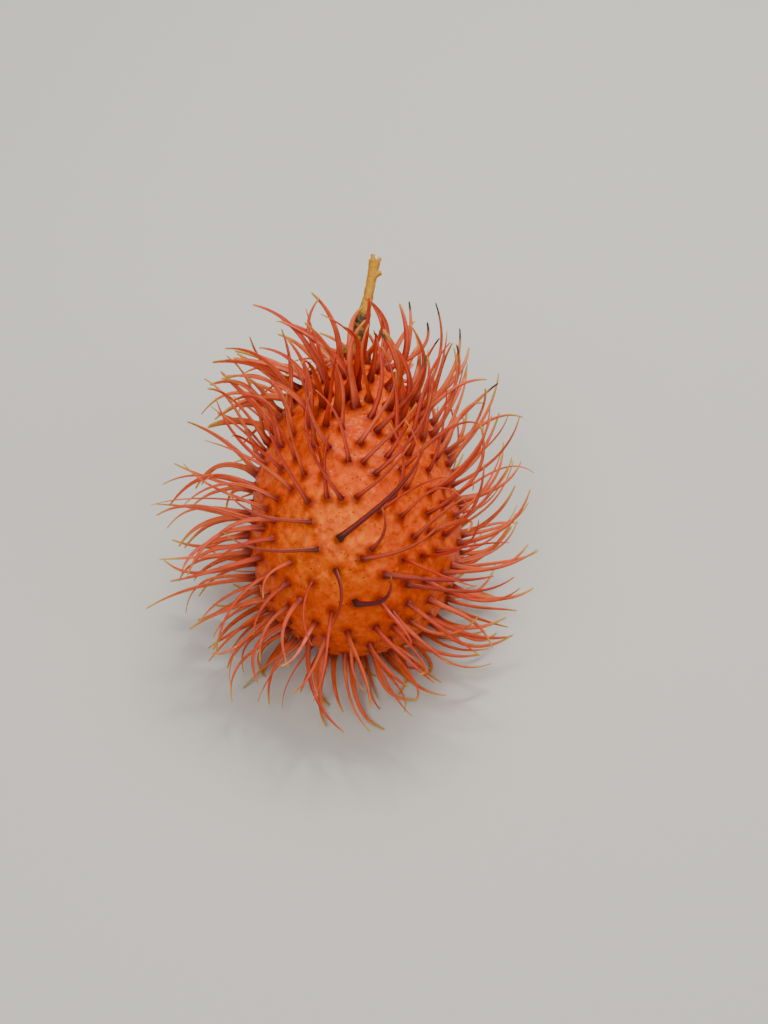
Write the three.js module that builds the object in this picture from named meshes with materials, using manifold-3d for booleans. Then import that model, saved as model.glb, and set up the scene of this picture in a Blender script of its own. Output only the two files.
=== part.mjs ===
// Rambutan, as picked: an egg-shaped rind covered in long soft spines, on a short broken stalk.
// Millimetres, +Z up. The origin is on the surface that the fruit lies on, under the middle of its box.
// The fruit lies with its stem end raised, and the spines under it are pressed flat on that surface.

import * as THREE from 'three';
import { mergeVertices } from 'three/addons/utils/BufferGeometryUtils.js';
import Module from 'manifold-3d';

const wasm = await Module();
wasm.setup();

// Rind: an egg, blunt at the blossom end and narrower at the stem end.
const RIND_HALF_LENGTH = 26.8;
const RIND_RADIUS = 18.2;
const RIND_TAPER = 0.2;
const RIND_CENTRE = new THREE.Vector3(2.32, -0.82, 23.6);
const STEM_END_RAISED = THREE.MathUtils.degToRad(30);
const CHEEK_TURN = THREE.MathUtils.degToRad(10);
const RIND_DETAIL = 3;

// Spines: irregular spacing, wider on the bare cheek than elsewhere.
const SEED = 20;
const SPACING = 3.1;
const SPACING_ON_CHEEK = 5;
const CROWDING_AT_STEM = 0.19;
const CANDIDATES = 6000;
const STOUTER_AT_STEM = 0.35;
const SPINE_LENGTH = 16.2;
const SPINE_LENGTH_SPREAD = 0.34;
const SPINE_SIDES = 3;
const SPINE_STEPS = 3;
const PRESSED_STEPS = 5;
const SPINE_ROOT_RADIUS = 0.95;
const SPINE_NECK_RADIUS = 0.66;
const SPINE_TIP_RADIUS = 0.3;
const ROOT_DEPTH = 1.22;
const STEM_CLEARING = 4;
const KNEE = 1.6;
const LINE_STEPS = 24;

// Partings: places that the spines lean away from, as hair does from a crown.
const CHEEK_ACROSS = -4.2;
const CHEEK_UP = -6.1;
const CHEEK_CORE = 5;
const CHEEK_EDGE = 12.5;
const PARTING_REACH = 20;
const LEAN_AT_CHEEK = 0.95;
const LEAN_AT_UNDERSIDE = 0.85;
const LEAN_ELSEWHERE = 0.3;
const LEAN_TO_STEM = 0.5;

// Contact with the surface below and with the rind.
const PRESSED_HEIGHT = 0.05;
const PRESS_ZONE = 1.7;
const CLEAR_OF_RIND = 0.85;
const WELD = 0.01;

// Stalk: thick barky foot, smooth neck, and a torn tip with two prongs and a knob.
const STALK_GAP = 0.3;
const STALK_LEAN = THREE.MathUtils.degToRad(15);
const STALK_LENGTH = 18.6;
const STALK_SIDES = 10;
const STALK_RADII = [1.8, 1.6, 1.45, 1.5, 1.35, 1.05, 0.93, 0.9, 0.95, 1.1];
const PRONG_LENGTH = 2.1;
const PRONG_RADIUS = 0.52;
const KNOB_LENGTH = 1.5;

// Spines that stand out from the rest, mostly withered ones on the bare cheek.
// across and up: root on the cheek, in mm from the rind's middle (up: towards the stem).
// heading: degrees from across towards up; lean: degrees from upright.
// bend: sideways bow, positive to the left; curl: late hook the same way; lift: rise off the rind.
// girth: share of the usual thickness, 1 where it isn't given.
const MARKED_SPINES = [
  { across: -2.7, up: -5.6, heading: 33, lean: 68, length: 24, bend: 0, curl: 0.16, lift: 0, girth: 1.5 },
  { across: 2.5, up: -7.5, heading: 42, lean: 48, length: 10, bend: 0.3, curl: 0.35, lift: 0.05 },
  { across: -0.3, up: -16.2, heading: 20, lean: 56, length: 14, bend: 0.1, curl: 0.7, lift: 0.1, girth: 1.3 },
  { across: -6, up: -7.2, heading: 184, lean: 64, length: 17, bend: -0.05, curl: -0.25, lift: 0.1 },
  { across: -3.3, up: -10.6, heading: 312, lean: 55, length: 12, bend: -0.5, curl: -0.5, lift: 0 },
  { across: -7, up: -2.7, heading: 180, lean: 62, length: 16, bend: -0.1, curl: -0.3, lift: 0.1 },
  { across: -7.4, up: 0.4, heading: 120, lean: 60, length: 17.5, bend: -0.05, curl: -0.1, lift: 0.1 },
  { across: -2, up: 0.8, heading: 126, lean: 66, length: 20, bend: -0.06, curl: -0.36, lift: 0.02 },
  { across: -4.4, up: 1.1, heading: 92, lean: 60, length: 12.5, bend: -0.1, curl: -0.1, lift: 0.1 },
  { across: 0.3, up: 1.1, heading: 26, lean: 60, length: 14, bend: 0.14, curl: 0.05, lift: 0.05 },
  { across: 1.4, up: 6.8, heading: 42, lean: 62, length: 14, bend: -0.1, curl: 0.1, lift: 0.1 },
  { across: 3.4, up: 4.9, heading: 36, lean: 62, length: 17, bend: 0.1, curl: 0.2, lift: 0.1 },
  { across: 3.9, up: 12.2, heading: 42, lean: 60, length: 16, bend: 0.05, curl: 0.2, lift: 0.1 },
  { across: -0.8, up: 7.2, heading: 96, lean: 58, length: 14, bend: 0.15, curl: 0.2, lift: 0.1 },
  { across: -6.3, up: 9.9, heading: 88, lean: 56, length: 15, bend: 0.02, curl: 0.2, lift: 0.15 },
  { across: -4, up: 9.4, heading: 124, lean: 58, length: 16, bend: -0.2, curl: -0.3, lift: 0.1 },
  { across: 0.9, up: -8.9, heading: 6, lean: 64, length: 18, bend: 0.2, curl: 0.2, lift: 0, girth: 1.2 },
  { across: 4.4, up: -11.6, heading: -4, lean: 64, length: 19, bend: -0.02, curl: 0.1, lift: 0, girth: 1.4 },
  { across: 8.2, up: -13.4, heading: -8, lean: 60, length: 19, bend: -0.06, curl: 0.3, lift: 0.05 },
  { across: 9.6, up: -5.6, heading: 58, lean: 46, length: 12, bend: -0.1, curl: 0, lift: 0.1 },
  { across: -4.6, up: 23.6, heading: 112, lean: 26, length: 14, bend: 0.2, curl: -0.9, lift: 0.3 },
  { across: -1.9, up: 24.2, heading: 70, lean: 22, length: 15, bend: 0.4, curl: 0.6, lift: 0.3, girth: 1.2 },
  { across: -8, up: -22, heading: 258, lean: 44, length: 19, bend: 0.3, curl: 0.45, lift: 0 },
];

const degrees = THREE.MathUtils.degToRad;

/** Repeatable random numbers from 0 to 1. */
function seededRandom(seed) {
  let state = seed;
  return () => {
    state = (Math.imul(state, 1664525) + 1013904223) >>> 0;
    return state / 4294967296;
  };
}

/** Point of the rind for a unit direction; x across, y along the stem axis, z out of the cheek. */
function rindPoint(direction) {
  const girth = RIND_RADIUS * (1 - RIND_TAPER * direction.y);
  return new THREE.Vector3(direction.x * girth, direction.y * RIND_HALF_LENGTH, direction.z * girth);
}

/** Outward normal of the rind at one of its points. */
function rindNormal(point) {
  const t = point.y / RIND_HALF_LENGTH;
  const girth = RIND_RADIUS * (1 - RIND_TAPER * t);
  const ring = (point.x ** 2 + point.z ** 2) / girth ** 2;
  const slope = (t + (ring * RIND_RADIUS * RIND_TAPER) / girth) / RIND_HALF_LENGTH;
  return new THREE.Vector3(point.x / girth ** 2, slope, point.z / girth ** 2).normalize();
}

/** How far out a point lies: 1 on the rind, more outside it. */
function rindRatio(point) {
  const t = THREE.MathUtils.clamp(point.y / RIND_HALF_LENGTH, -1, 1);
  const girth = RIND_RADIUS * (1 - RIND_TAPER * t);
  return Math.hypot(point.x / girth, point.z / girth, point.y / RIND_HALF_LENGTH);
}

/** From the cheek's frame (across, up, out of the cheek) to the rind's. */
function cheekVector(across, up, out) {
  const c = Math.cos(CHEEK_TURN);
  const s = Math.sin(CHEEK_TURN);
  return new THREE.Vector3(across, up * c - out * s, up * s + out * c);
}

/** Point of the rind on its cheek side, from its place across and up, found by halving. */
function cheekPoint(across, up) {
  let inside = 0;
  let outside = 2 * RIND_RADIUS;
  for (let step = 0; step < 40; step += 1) {
    const out = (inside + outside) / 2;
    if (rindRatio(cheekVector(across, up, out)) < 1) {
      inside = out;
    } else {
      outside = out;
    }
  }
  return cheekVector(across, up, inside);
}

/** Lowest point of the rind as it lies. */
function undersidePoint() {
  const along = -RIND_HALF_LENGTH * Math.sin(STEM_END_RAISED);
  const out = -RIND_RADIUS * Math.cos(STEM_END_RAISED);
  return rindPoint(new THREE.Vector3(0, along, out).normalize());
}

/** The part of a vector that lies along the rind's surface. */
function alongSurface(vector, normal) {
  return vector.clone().addScaledVector(normal, -vector.dot(normal));
}

/** Slow wander of direction over the rind, so that neighbouring spines curve alike. */
function wander(point, phase) {
  const { x, y, z } = point;
  return new THREE.Vector3(
    Math.sin(0.16 * x + 0.11 * z + phase) + Math.sin(0.19 * y - 0.07 * z + 2.1 * phase),
    Math.sin(0.15 * y + 0.09 * x + 1.3 * phase) + Math.sin(0.18 * z + 0.7 * phase),
    Math.sin(0.14 * z - 0.12 * y + 1.9 * phase) + Math.sin(0.2 * x + 1.1 * phase),
  ).multiplyScalar(0.5);
}

/** Lean away from one parting, fading with distance from it. */
function partingLean(point, normal, pole, strength) {
  const offset = point.clone().sub(pole);
  const fade = Math.exp(-((offset.length() / PARTING_REACH) ** 2));
  return alongSurface(offset, normal).normalize().multiplyScalar(strength * fade);
}

/** Share of bare cheek at a point, from 0 to 1. */
function cheekShare(point) {
  const distance = point.distanceTo(cheekPoint(CHEEK_ACROSS, CHEEK_UP));
  return 1 - THREE.MathUtils.smoothstep(distance, CHEEK_CORE, CHEEK_EDGE);
}

/** Roots of the spines: the marked ones, then random places no closer than the local spacing. */
function plantRoots(random) {
  const roots = MARKED_SPINES.map((marked) => cheekPoint(marked.across, marked.up));
  const stemEnd = rindPoint(new THREE.Vector3(0, 1, 0));
  for (let candidate = 0; candidate < CANDIDATES; candidate += 1) {
    const height = 2 * random() - 1;
    const turn = 2 * Math.PI * random();
    const ring = Math.sqrt(1 - height * height);
    const point = rindPoint(new THREE.Vector3(ring * Math.cos(turn), height, ring * Math.sin(turn)));
    const crowding = CROWDING_AT_STEM * THREE.MathUtils.smoothstep(point.y / RIND_HALF_LENGTH, 0.2, 0.6);
    const spacing = THREE.MathUtils.lerp(SPACING, SPACING_ON_CHEEK, cheekShare(point)) * (1 - crowding);
    const free = roots.every((root) => root.distanceTo(point) > spacing);
    if (free && point.distanceTo(stemEnd) > STEM_CLEARING) {
      roots.push(point);
    }
  }
  return roots;
}

/** A spine described by its root, its first direction, and how it bows, curls and lifts. */
function markedSpine(marked) {
  const root = cheekPoint(marked.across, marked.up);
  const normal = rindNormal(root);
  const heading = degrees(marked.heading);
  const headingVector = cheekVector(Math.cos(heading), Math.sin(heading), 0);
  const forward = alongSurface(headingVector, normal).normalize();
  const left = new THREE.Vector3().crossVectors(normal, forward);
  return {
    root,
    normal,
    start: leaned(normal, forward, degrees(marked.lean)),
    bow: left.clone().multiplyScalar(marked.bend).addScaledVector(normal, marked.lift),
    curl: left.clone().multiplyScalar(marked.curl),
    length: marked.length,
    girth: marked.girth ?? 1,
  };
}

/** The normal turned towards a surface direction by an angle. */
function leaned(normal, forward, angle) {
  return normal.clone().multiplyScalar(Math.cos(angle)).addScaledVector(forward, Math.sin(angle));
}

/** A random vector along the rind's surface, up to about a half long. */
function scattered(normal, random) {
  return alongSurface(new THREE.Vector3(random() - 0.5, random() - 0.5, random() - 0.5), normal);
}

/** An unmarked spine: it follows the partings, the wander and the swirl, with its own small differences. */
function wildSpine(root, random) {
  const normal = rindNormal(root);
  const scatter = scattered(normal, random);
  const sway = scattered(normal, random);
  const hook = scattered(normal, random);
  const share = root.y / RIND_HALF_LENGTH;
  const lean = partingLean(root, normal, cheekPoint(CHEEK_ACROSS, CHEEK_UP), LEAN_AT_CHEEK);
  lean.add(partingLean(root, normal, undersidePoint(), LEAN_AT_UNDERSIDE));
  lean.addScaledVector(alongSurface(wander(root, 0.6), normal), LEAN_ELSEWHERE);
  lean.addScaledVector(scatter, 0.55 + 0.5 * THREE.MathUtils.smoothstep(share, 0.2, 0.7));
  const toStem = alongSurface(new THREE.Vector3(0, 1, 0), normal);
  const rising = THREE.MathUtils.smoothstep(share, 0, 0.4) - THREE.MathUtils.smoothstep(share, 0.5, 0.9);
  lean.addScaledVector(toStem, LEAN_TO_STEM * rising);
  const angle = Math.min(lean.length(), 1.15);
  const start = leaned(normal, lean.normalize(), angle);
  const swirl = cheekVector(0, 0, 1).cross(start);
  const bow = swirl.clone().multiplyScalar(0.05 + 0.3 * random());
  bow.addScaledVector(alongSurface(wander(root, 3.4), normal), 0.15).addScaledVector(sway, 0.4);
  const curl = swirl.clone().multiplyScalar(0.12).addScaledVector(hook, 0.3 + 1.3 * random());
  const spread = SPINE_LENGTH_SPREAD * (random() - 0.5) * 2 * random();
  const nearStem = THREE.MathUtils.smoothstep(share, 0.75, 1);
  const nearBlossom = THREE.MathUtils.smoothstep(-share, 0.4, 1);
  const shorter = 0.4 * nearStem + 0.2 * nearBlossom;
  const stunted = random() < 0.5 * cheekShare(root) ? 0.5 : 1;
  const length = SPINE_LENGTH * (1 + spread) * (1 - shorter) * stunted;
  const stouter = 1 + STOUTER_AT_STEM * THREE.MathUtils.smoothstep(share, 0.1, 0.6);
  return { root, normal, start, bow, curl, length, girth: (0.7 + 0.45 * random()) * stouter };
}

/** The spine with its centre line in the rind's frame, walked in equal steps from its root. */
function withLine(spine) {
  const line = [spine.root];
  for (let step = 0; step < LINE_STEPS; step += 1) {
    const share = (step + 0.5) / LINE_STEPS;
    const ahead = spine.normal.clone().lerp(spine.start, Math.min(1, (share * spine.length) / KNEE));
    ahead.addScaledVector(spine.bow, 2 * share).addScaledVector(spine.curl, 4 * share ** 3).normalize();
    line.push(line[step].clone().addScaledVector(ahead, spine.length / LINE_STEPS));
  }
  return { ...spine, line };
}

/** From the rind's frame to the part's frame. */
function toPart(point) {
  const c = Math.cos(STEM_END_RAISED);
  const s = Math.sin(STEM_END_RAISED);
  return new THREE.Vector3(point.x, point.y * c - point.z * s, point.y * s + point.z * c).add(RIND_CENTRE);
}

/** Point of a spine's line in the rind's frame; below 0 the share runs down into the rind. */
function linePoint(spine, share) {
  if (share <= 0) {
    return spine.root.clone().addScaledVector(spine.normal, spine.length * share);
  }
  const before = Math.min(Math.floor(share * LINE_STEPS), LINE_STEPS - 1);
  return spine.line[before].clone().lerp(spine.line[before + 1], share * LINE_STEPS - before);
}

/** Centre line of a spine in the part's frame; share runs from 0 at the rind to 1 at the tip. */
function spinePoint(spine, share) {
  const point = linePoint(spine, share);
  const clearance = 1 + (CLEAR_OF_RIND * Math.min(1, Math.max(0, share) * 6)) / RIND_RADIUS;
  const ratio = rindRatio(point);
  if (share > 0 && ratio < clearance) {
    point.multiplyScalar(clearance / ratio);
  }
  const placed = toPart(point);
  if (placed.z < PRESS_ZONE) {
    const depth = (PRESS_ZONE - placed.z) / (PRESS_ZONE - PRESSED_HEIGHT);
    placed.z = PRESSED_HEIGHT + (PRESS_ZONE - PRESSED_HEIGHT) * Math.exp(-depth);
  }
  return placed;
}

/** Closed solid from a geometry, with its doubled corners merged. */
function solidOf(geometry) {
  const bare = geometry.index ? geometry.toNonIndexed() : geometry.clone();
  bare.deleteAttribute('normal');
  bare.deleteAttribute('uv');
  const merged = mergeVertices(bare, 1e-4);
  return new wasm.Manifold(new wasm.Mesh({
    numProp: 3,
    vertProperties: new Float32Array(merged.attributes.position.array),
    triVerts: new Uint32Array(merged.index.array),
  }));
}

/** Geometry for a mesh from a finished solid. */
function geometryOf(solid) {
  const mesh = solid.getMesh();
  const geometry = new THREE.BufferGeometry();
  geometry.setAttribute('position', new THREE.BufferAttribute(mesh.vertProperties, 3));
  geometry.setIndex(new THREE.BufferAttribute(mesh.triVerts, 1));
  geometry.computeVertexNormals();
  return geometry;
}

/** A tapered rod bent along a line; centre(share) and radius(share) take 0 at the root, 1 at the tip. */
function bentRod(centre, radius, sides, steps, pointed) {
  const rod = new THREE.CylinderGeometry(pointed ? 0 : 1, 1, 1, sides, steps, false, Math.PI / sides);
  const place = rod.attributes.position;
  const up = new THREE.Vector3(0, 0, 1);
  for (let corner = 0; corner < place.count; corner += 1) {
    const share = place.getY(corner) + 0.5;
    const ahead = centre(Math.min(share + 0.02, 1)).sub(centre(Math.min(share + 0.02, 1) - 0.04)).normalize();
    const side = new THREE.Vector3().crossVectors(up, ahead).normalize();
    const over = new THREE.Vector3().crossVectors(side, ahead);
    const turn = Math.atan2(place.getX(corner), place.getZ(corner));
    const reach = Math.hypot(place.getX(corner), place.getZ(corner)) > 1e-6 ? radius(share) : 0;
    const point = centre(share);
    point.addScaledVector(side, reach * Math.sin(turn)).addScaledVector(over, reach * Math.cos(turn));
    place.setXYZ(corner, point.x, point.y, point.z);
  }
  return solidOf(rod);
}

/** One spine, rooted a little inside the rind. */
function spineSolid(spine) {
  const sunk = -ROOT_DEPTH / spine.length;
  const shareAt = (t) => sunk + (1 - sunk) * t;
  const radius = (t) => {
    const neck = Math.min(1, t * 3.2);
    const shaft = THREE.MathUtils.lerp(SPINE_NECK_RADIUS, SPINE_TIP_RADIUS, t);
    return spine.girth * THREE.MathUtils.lerp(SPINE_ROOT_RADIUS, shaft, neck);
  };
  const steps = spinePoint(spine, 0.8).z < PRESS_ZONE ? PRESSED_STEPS : SPINE_STEPS;
  return bentRod((t) => spinePoint(spine, shareAt(t)), radius, SPINE_SIDES, steps, true);
}

/** The bare rind, without its spines. */
function rindSolid() {
  const ball = new THREE.IcosahedronGeometry(1, RIND_DETAIL);
  const place = ball.attributes.position;
  for (let corner = 0; corner < place.count; corner += 1) {
    const point = toPart(rindPoint(new THREE.Vector3().fromBufferAttribute(place, corner).normalize()));
    place.setXYZ(corner, point.x, point.y, point.z);
  }
  return solidOf(ball);
}

/** The outer shell alone: pockets closed in between crossing spines are filled, and loose crumbs dropped. */
function outerShell(solid) {
  return solid.decompose().reduce((most, shell) => (shell.volume() > most.volume() ? shell : most));
}

/** The whole fruit: rind and spines as one grown piece, flat where it is pressed on the surface. */
function fruitGeometry() {
  const random = seededRandom(SEED);
  const roots = plantRoots(random);
  const spines = roots.map((root, number) => withLine(
    number < MARKED_SPINES.length ? markedSpine(MARKED_SPINES[number]) : wildSpine(root, random),
  ));
  let fruit = rindSolid();
  for (const spine of spines) {
    fruit = fruit.add(spineSolid(spine));
  }
  const below = new THREE.BoxGeometry(200, 200, 20).translate(0, 0, -10);
  return geometryOf(outerShell(fruit.subtract(solidOf(below)).simplify(WELD)));
}

/** Centre line of the stalk, from just above the rind towards the fork. */
function stalkPoint(share) {
  const reach = STALK_LENGTH * share;
  const across = reach * Math.sin(STALK_LEAN) + 0.5 * Math.sin(Math.PI * share) - 0.2;
  const along = RIND_HALF_LENGTH + STALK_GAP + reach * Math.cos(STALK_LEAN);
  return toPart(new THREE.Vector3(across, along, 0.3 * share));
}

/** A short branch of the stalk, from a share of its length, heading across by an angle. */
function stalkBranch(share, heading, outward, length, radius) {
  const from = stalkPoint(share);
  const tip = toPart(new THREE.Vector3(Math.sin(heading), Math.cos(heading), outward)).sub(RIND_CENTRE);
  const centre = (t) => from.clone().addScaledVector(tip, length * t);
  return bentRod(centre, (t) => radius * (1 - 0.25 * t), 6, 2, false);
}

/** The stalk: barky foot, smooth neck, and the torn fork at its tip. */
function stalkGeometry() {
  const last = STALK_RADII.length - 1;
  const radius = (share) => STALK_RADII[Math.round(share * last)];
  let stalk = bentRod(stalkPoint, radius, STALK_SIDES, last, false);
  stalk = stalk.add(stalkBranch(0.96, degrees(-2), 0.1, PRONG_LENGTH, PRONG_RADIUS));
  stalk = stalk.add(stalkBranch(0.95, degrees(38), -0.1, PRONG_LENGTH, PRONG_RADIUS));
  stalk = stalk.add(stalkBranch(0.82, degrees(78), 0.2, KNOB_LENGTH + 0.6, PRONG_RADIUS));
  return geometryOf(stalk);
}

/** A named piece with its own material. */
function piece(name, geometry, colour, roughness) {
  const material = new THREE.MeshStandardMaterial({ color: colour, roughness, metalness: 0 });
  const mesh = new THREE.Mesh(geometry, material);
  mesh.name = name;
  return mesh;
}

const group = new THREE.Group();
group.add(piece('fruit', fruitGeometry(), 0xc8502c, 0.5));
group.add(piece('stem', stalkGeometry(), 0xa8823c, 0.75));

export default group;
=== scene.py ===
"""A rambutan as picked: a pebbled egg-shaped rind, long curling spines, and a broken stalk."""

import logging
import math
from collections.abc import Callable
from dataclasses import dataclass
from enum import Enum

import bpy
import numpy as np
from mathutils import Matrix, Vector, kdtree, noise


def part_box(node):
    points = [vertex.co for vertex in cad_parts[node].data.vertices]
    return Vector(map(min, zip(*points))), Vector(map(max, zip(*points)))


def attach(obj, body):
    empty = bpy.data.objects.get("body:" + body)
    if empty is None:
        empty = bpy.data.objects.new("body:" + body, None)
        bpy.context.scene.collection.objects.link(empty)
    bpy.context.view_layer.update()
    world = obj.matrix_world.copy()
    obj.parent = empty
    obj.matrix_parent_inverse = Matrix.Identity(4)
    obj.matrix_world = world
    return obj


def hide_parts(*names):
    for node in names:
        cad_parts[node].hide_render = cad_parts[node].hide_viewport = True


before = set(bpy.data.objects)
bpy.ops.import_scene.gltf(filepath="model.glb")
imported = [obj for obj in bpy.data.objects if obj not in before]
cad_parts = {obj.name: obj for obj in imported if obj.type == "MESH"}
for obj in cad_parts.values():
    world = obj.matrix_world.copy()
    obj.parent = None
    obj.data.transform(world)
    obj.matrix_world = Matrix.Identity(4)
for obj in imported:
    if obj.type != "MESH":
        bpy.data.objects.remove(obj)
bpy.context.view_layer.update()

MM = 0.001
LOG = logging.getLogger("rambutan")
Colour = tuple[float, float, float]
Span = tuple[float, float]


def unit(vectors: np.ndarray) -> np.ndarray:
    """Vectors at length one; a zero vector stays zero."""
    size = np.linalg.norm(vectors, axis=-1, keepdims=True)
    return vectors / np.where(size < 1e-12, 1.0, size)


def smooth(value: np.ndarray | float, low: float, high: float) -> np.ndarray | float:
    """Smooth step from 0 at low to 1 at high."""
    share = np.clip((value - low) / (high - low), 0.0, 1.0)
    return share * share * (3.0 - 2.0 * share)


def deselect_all() -> None:
    """Leave edit mode and clear the selection."""
    if bpy.context.object and bpy.context.object.mode != "OBJECT":
        bpy.ops.object.mode_set(mode="OBJECT")
    bpy.ops.object.select_all(action="DESELECT")


def select_only(piece: bpy.types.Object) -> None:
    """Make one object the selected and active one."""
    deselect_all()
    piece.select_set(True)
    bpy.context.view_layer.objects.active = piece


def coordinates(mesh: bpy.types.Mesh) -> np.ndarray:
    """All corner places of a mesh, one row each."""
    places = np.empty(len(mesh.vertices) * 3)
    mesh.vertices.foreach_get("co", places)
    return places.reshape(-1, 3)


def set_coordinates(mesh: bpy.types.Mesh, places: np.ndarray) -> None:
    """Write all corner places back to a mesh."""
    mesh.vertices.foreach_set("co", places.astype(np.float32).ravel())
    mesh.update()


def set_attribute(mesh: bpy.types.Mesh, name: str, values: np.ndarray) -> None:
    """Store one number per corner under a name that a material reads."""
    layer = mesh.attributes.get(name) or mesh.attributes.new(name, "FLOAT", "POINT")
    layer.data.foreach_set("value", np.asarray(values, dtype=np.float32).ravel())


# -------------------------------------------------------- growth, shared with the solid model


class SeededRandom:
    """Repeatable random numbers from 0 to 1."""

    def __init__(self, seed: int) -> None:
        """Start the row of numbers from a seed."""
        self.state = seed

    def __call__(self) -> float:
        """The next number."""
        self.state = (self.state * 1664525 + 1013904223) & 0xFFFFFFFF
        return self.state / 4294967296


@dataclass(frozen=True)
class MarkedSpine:
    """A spine that stands out.

    Attributes:
        across: Place of its root across the cheek, in mm.
        up: Place of its root up the cheek, in mm.
        heading: Which way it leans, in degrees from across towards up.
        lean: How far it leans away from the rind's normal, in degrees.
        length: Its length in mm.
        bend: Even bow to its left.
        curl: Curl to its left, which gathers towards the tip.
        lift: Bow away from the rind.
        wither: How withered it is, from 0 to 1.
        girth: Its width against a common spine's.
    """

    across: float
    up: float
    heading: float
    lean: float
    length: float
    bend: float
    curl: float
    lift: float
    wither: float = 0.0
    girth: float = 1.0


MARKED_SPINES = (
    MarkedSpine(-2.7, -5.6, 33, 68, 24, 0, 0.16, 0, 0.9, 1.5),
    MarkedSpine(2.5, -7.5, 42, 48, 10, 0.3, 0.35, 0.05, 0.6),
    MarkedSpine(-0.3, -16.2, 20, 56, 14, 0.1, 0.7, 0.1, 1.0, 1.3),
    MarkedSpine(-6, -7.2, 184, 64, 17, -0.05, -0.25, 0.1, 0.8),
    MarkedSpine(-3.3, -10.6, 312, 55, 12, -0.5, -0.5, 0, 0.8),
    MarkedSpine(-7, -2.7, 180, 62, 16, -0.1, -0.3, 0.1, 0.6),
    MarkedSpine(-7.4, 0.4, 120, 60, 17.5, -0.05, -0.1, 0.1, 0.3),
    MarkedSpine(-2, 0.8, 126, 66, 20, -0.06, -0.36, 0.02, 0.35),
    MarkedSpine(-4.4, 1.1, 92, 60, 12.5, -0.1, -0.1, 0.1, 0.2),
    MarkedSpine(0.3, 1.1, 26, 60, 14, 0.14, 0.05, 0.05, 0.4),
    MarkedSpine(1.4, 6.8, 42, 62, 14, -0.1, 0.1, 0.1, 0.4),
    MarkedSpine(3.4, 4.9, 36, 62, 17, 0.1, 0.2, 0.1, 0.4),
    MarkedSpine(3.9, 12.2, 42, 60, 16, 0.05, 0.2, 0.1, 0.2),
    MarkedSpine(-0.8, 7.2, 96, 58, 14, 0.15, 0.2, 0.1, 0.2),
    MarkedSpine(-6.3, 9.9, 88, 56, 15, 0.02, 0.2, 0.15, 0.3),
    MarkedSpine(-4, 9.4, 124, 58, 16, -0.2, -0.3, 0.1, 0.3),
    MarkedSpine(0.9, -8.9, 6, 64, 18, 0.2, 0.2, 0, 0.3, 1.2),
    MarkedSpine(4.4, -11.6, -4, 64, 19, -0.02, 0.1, 0, 0.5, 1.4),
    MarkedSpine(8.2, -13.4, -8, 60, 19, -0.06, 0.3, 0.05, 0.4),
    MarkedSpine(9.6, -5.6, 58, 46, 12, -0.1, 0, 0.1, 0.3),
    MarkedSpine(-4.6, 23.6, 112, 26, 14, 0.2, -0.9, 0.3, 0.0),
    MarkedSpine(-1.9, 24.2, 70, 22, 15, 0.4, 0.6, 0.3, 0.0, 1.2),
    MarkedSpine(-8, -22, 258, 44, 19, 0.3, 0.45, 0, 0.0),
)


@dataclass
class Spines:
    """Every spine of the coat, as rows of roots, directions, bows and lengths in mm."""

    root: np.ndarray
    normal: np.ndarray
    start: np.ndarray
    bow: np.ndarray
    curl: np.ndarray
    length: np.ndarray
    girth: np.ndarray
    wither: np.ndarray

    def __len__(self) -> int:
        """How many spines there are."""
        return len(self.length)


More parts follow.
